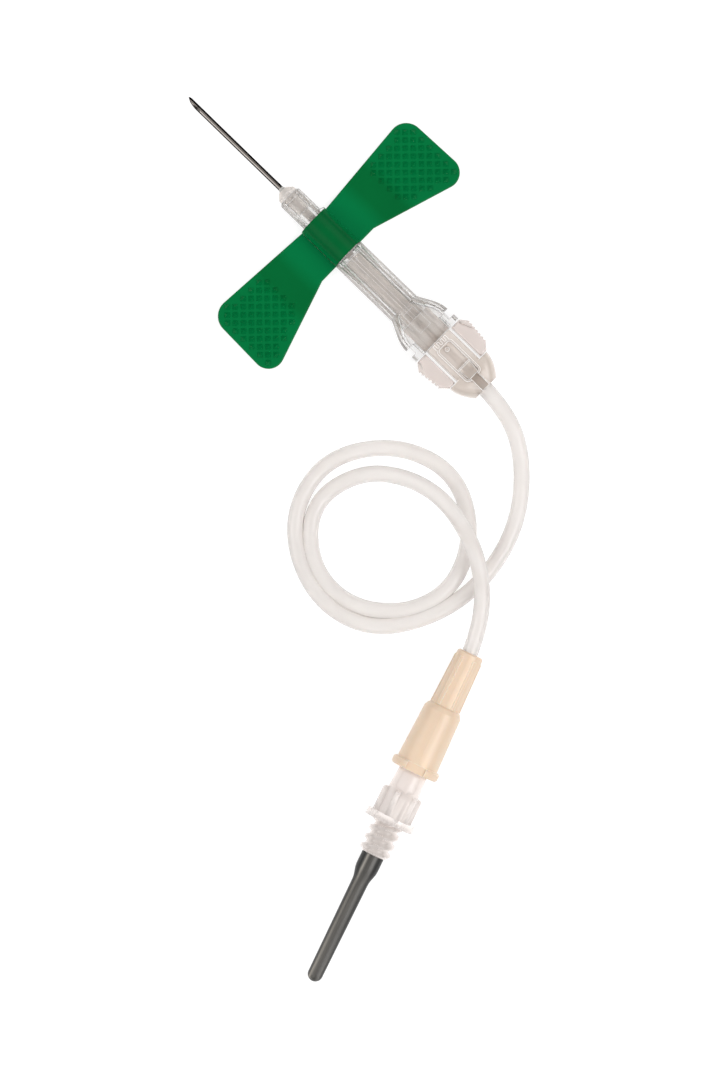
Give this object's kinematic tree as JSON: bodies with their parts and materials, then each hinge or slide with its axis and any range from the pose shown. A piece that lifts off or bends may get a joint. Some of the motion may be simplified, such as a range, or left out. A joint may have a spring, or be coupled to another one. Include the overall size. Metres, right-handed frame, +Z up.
{
  "type": "butterfly needle",
  "caption": "Safety winged needle set: steel needle in a sliding clear barrel with green wings, squeeze grip, soft tubing, luer connector and sleeved tube-side needle.",
  "frame": {"origin": "on the table under the middle of the needle and grip, midway between the needle's tip and the grip's rear", "axes": "+X the way the needle points, +Y along the left wing, +Z up from the table"},
  "size_m": [0.1055, 0.1023, 0.0076],
  "materials": {
    "steel": "satin",
    "adhesive": "glossy",
    "milky_plastic": "satin",
    "clear_plastic": "glossy",
    "green_vinyl": "satin",
    "soft_tube": "satin",
    "beige_plastic": "satin",
    "grey_rubber": "matte"
  },
  "bodies": {
    "hub": {"needle_hub": "milky_plastic", "front_needle": "steel", "needle_glue": "adhesive", "tubing": "soft_tube", "female_luer": "beige_plastic", "luer_adapter": "clear_plastic", "tube_side_needle": "steel", "tube_side_needle_glue": "adhesive", "rubber_sleeve": "grey_rubber"},
    "shield": {"shield_barrel": "clear_plastic", "wing_saddle": "green_vinyl"},
    "left_wing": {"left_wing": "green_vinyl"},
    "right_wing": {"right_wing": "green_vinyl"},
    "left_pad": {"left_squeeze_pad": "clear_plastic"},
    "right_pad": {"right_squeeze_pad": "clear_plastic"}
  },
  "joints": [
    {"name": "shield_slide", "type": "slide", "parent": "hub", "child": "shield", "axis": [1, 0, 0], "range_m": [0, 0.024]},
    {"name": "left_wing_fold", "type": "hinge", "parent": "shield", "child": "left_wing", "pos_m": [0.00123, 0.00253, 0.0009], "axis": [1, 0, 0], "range_deg": [0, 85], "stiffness_Nm_per_rad": 0.001},
    {"name": "right_wing_fold", "type": "hinge", "parent": "shield", "child": "right_wing", "pos_m": [0.00123, -0.00253, 0.0009], "axis": [-1, 0, 0], "range_deg": [0, 85], "stiffness_Nm_per_rad": 0.001},
    {"name": "left_pad_squeeze", "type": "hinge", "parent": "hub", "child": "left_pad", "pos_m": [-0.02715, 0.00332, 0.003], "axis": [0, 0, -1], "range_deg": [0, 3.5], "stiffness_Nm_per_rad": 0.02},
    {"name": "right_pad_squeeze", "type": "hinge", "parent": "hub", "child": "right_pad", "pos_m": [-0.02715, -0.00332, 0.003], "axis": [0, 0, 1], "range_deg": [0, 3.5], "stiffness_Nm_per_rad": 0.02}
  ]
}
